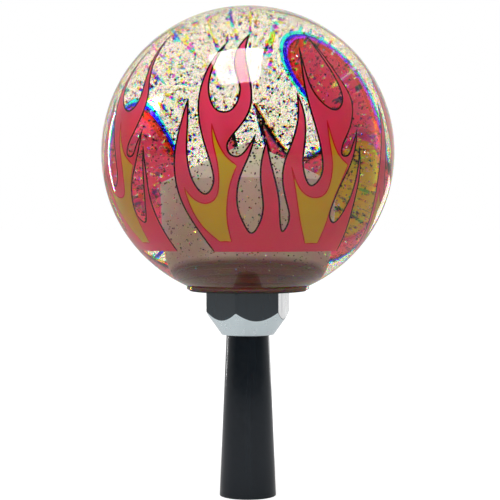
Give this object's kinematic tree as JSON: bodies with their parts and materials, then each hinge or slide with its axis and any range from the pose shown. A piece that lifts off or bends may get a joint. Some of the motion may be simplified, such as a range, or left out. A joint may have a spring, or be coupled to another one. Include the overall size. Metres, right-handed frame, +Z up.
{
  "type": "gear shift knob",
  "caption": "Clear resin ball shift knob with metal flake and flame films, on its threaded lever top with a hexagonal jam nut.",
  "frame": {"origin": "centre of the lever's lower end face, which is also the centre of the bottom of the whole part", "axes": "+Z up along the lever and the ball's axis; -Y is the front, where the first flame film faces"},
  "size_m": [0.054, 0.054, 0.0905],
  "materials": {
    "lever_black": "gloss black paint over steel",
    "nut_black": "black coating on the flats, bare turned cone",
    "washer_rubber": "thin black rubber",
    "bushing_brass": "turned brass",
    "insert_bronze": "satin bronze-coloured metal",
    "clear_resin": "clear cast resin, polished, with metal flake",
    "flame_film": "printed film, red and yellow flames with a black line"
  },
  "bodies": {
    "lever": {"lever": "lever_black"},
    "washer": {"foot_washer": "washer_rubber"},
    "nut": {"jam_nut": "nut_black"},
    "bushing": {"adapter_bushing": "bushing_brass"},
    "knob": {"threaded_insert": "insert_bronze", "resin_core": "clear_resin", "clear_coat": "clear_resin", "flame_film_1": "flame_film", "flame_film_2": "flame_film", "flame_film_3": "flame_film", "flame_film_4": "flame_film"}
  },
  "joints": [
    {"name": "knob_rise", "type": "slide", "parent": "lever", "child": "bushing", "axis": [0, 0, 1], "range_m": [0, 0.015]},
    {"name": "knob_turn", "type": "hinge", "parent": "bushing", "child": "knob", "pos_m": [0, 0, 0.0635], "axis": [0, 0, 1], "range_deg": [0, 4320]},
    {"name": "nut_travel", "type": "slide", "parent": "lever", "child": "washer", "axis": [0, 0, -1], "range_m": [0, 0.0025]},
    {"name": "nut_turn", "type": "hinge", "parent": "washer", "child": "nut", "pos_m": [0, 0, 0.034], "axis": [0, 0, -1], "range_deg": [0, 720]}
  ],
  "couplings": [
    {"joint": "knob_rise", "follows": "knob_turn", "m_per_rad": 0.00019894},
    {"joint": "nut_travel", "follows": "nut_turn", "m_per_rad": 0.00019894}
  ]
}
